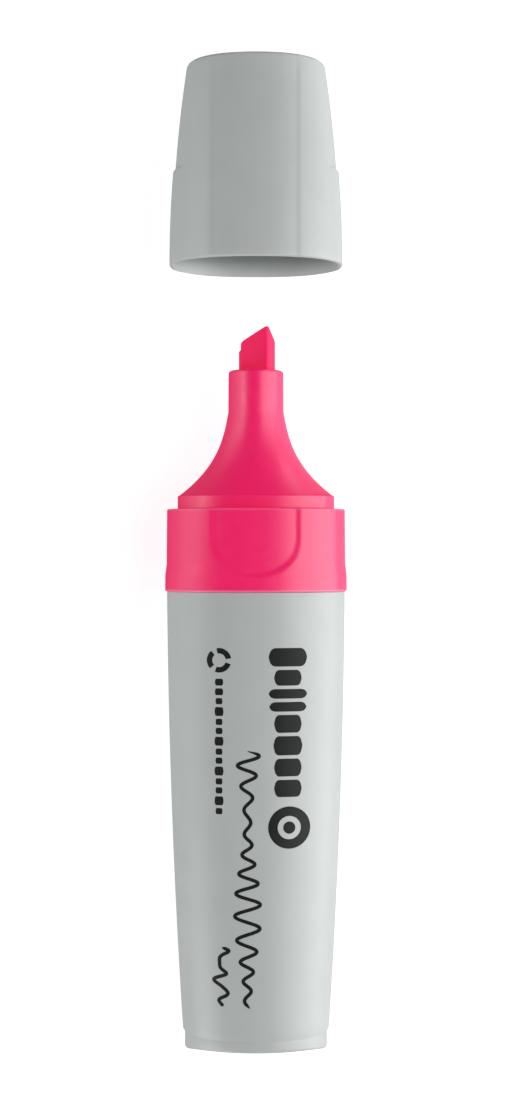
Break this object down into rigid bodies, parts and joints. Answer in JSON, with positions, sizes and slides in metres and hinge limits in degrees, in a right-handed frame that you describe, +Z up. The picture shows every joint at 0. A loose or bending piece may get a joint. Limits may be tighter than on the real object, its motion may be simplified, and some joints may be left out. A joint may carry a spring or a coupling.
{
  "type": "highlighter pen",
  "caption": "Flat oval highlighter with a flared neck, a chisel nib and a lift-off cap drawn a little way off it.",
  "frame": {"origin": "on the table under the middle of the whole object, pen and drawn-off cap together", "axes": "+Y runs along the pen from its tail towards the nib and the cap, +X across its width, +Z up"},
  "size_m": [0.0274, 0.1498, 0.018],
  "materials": {
    "barrel_grey": "satin",
    "plug_grey": "satin",
    "section_pink": "semi-gloss",
    "nib_fibre": "inked felt",
    "core_fibre": "ink-soaked fibre",
    "film": "clear film",
    "tube_natural": "natural",
    "cap_grey": "satin",
    "liner_natural": "natural"
  },
  "bodies": {
    "pen": {"barrel": "barrel_grey", "end_plug": "plug_grey", "front_section": "section_pink", "nib": "nib_fibre", "ink_reservoir": "core_fibre", "reservoir_film": "film", "breather_tube": "tube_natural"},
    "cap": {"cap_shell": "cap_grey", "cap_liner": "liner_natural"}
  },
  "joints": [
    {"name": "cap_pull", "type": "slide", "parent": "pen", "child": "cap", "axis": [0, 1, 0], "range_m": [-0.0365, 0.02]}
  ]
}
